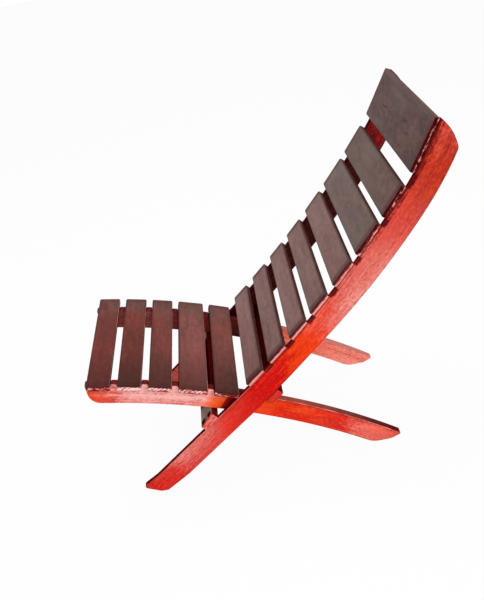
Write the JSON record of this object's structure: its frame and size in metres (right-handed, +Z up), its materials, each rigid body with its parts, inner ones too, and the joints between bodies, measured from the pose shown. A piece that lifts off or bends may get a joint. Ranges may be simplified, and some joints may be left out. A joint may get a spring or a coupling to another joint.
{
  "type": "wooden lounge chair",
  "caption": "Low wooden lounge chair of two slatted frames that slot through each other: a long leaning back with front feet, and a seat with rear feet.",
  "frame": {"origin": "on the floor, in the middle of the chair's width and of its length", "axes": "+X towards the sitter's left, +Y from the front of the seat to the back, +Z up"},
  "size_m": [0.46, 1.04, 0.9579],
  "materials": {
    "back_rail_wood": "glossy red stain and varnish",
    "seat_rail_wood": "glossy red stain and varnish",
    "back_slat_wood": "semi-gloss dark brown stain",
    "seat_slat_wood": "semi-gloss dark red-brown stain",
    "crossbar_red": "glossy red stain and varnish",
    "crossbar_brown": "semi-gloss dark brown stain",
    "fixing_steel": "darkened steel"
  },
  "bodies": {
    "back_frame": {"back_rail_left": "back_rail_wood", "back_rail_right": "back_rail_wood", "back_slat_1": "back_slat_wood", "back_slat_2": "back_slat_wood", "back_slat_3": "back_slat_wood", "back_slat_4": "back_slat_wood", "back_slat_5": "back_slat_wood", "back_slat_6": "back_slat_wood", "back_slat_7": "back_slat_wood", "back_slat_8": "back_slat_wood", "front_crossbar": "crossbar_brown", "rear_crossbar": "crossbar_red", "back_slat_nails": "fixing_steel", "front_crossbar_screws": "fixing_steel", "rear_crossbar_screws": "fixing_steel"},
    "seat_frame": {"seat_rail_left": "seat_rail_wood", "seat_rail_right": "seat_rail_wood", "seat_slat_1": "seat_slat_wood", "seat_slat_2": "seat_slat_wood", "seat_slat_3": "seat_slat_wood", "seat_slat_4": "seat_slat_wood", "seat_slat_5": "seat_slat_wood", "seat_slat_nails": "fixing_steel"}
  },
  "joints": [
    {"name": "seat_slide", "type": "hinge", "parent": "back_frame", "child": "seat_frame", "pos_m": [0, -0.93214, -1.53598], "axis": [1, 0, 0], "range_deg": [0, 18.5]}
  ]
}
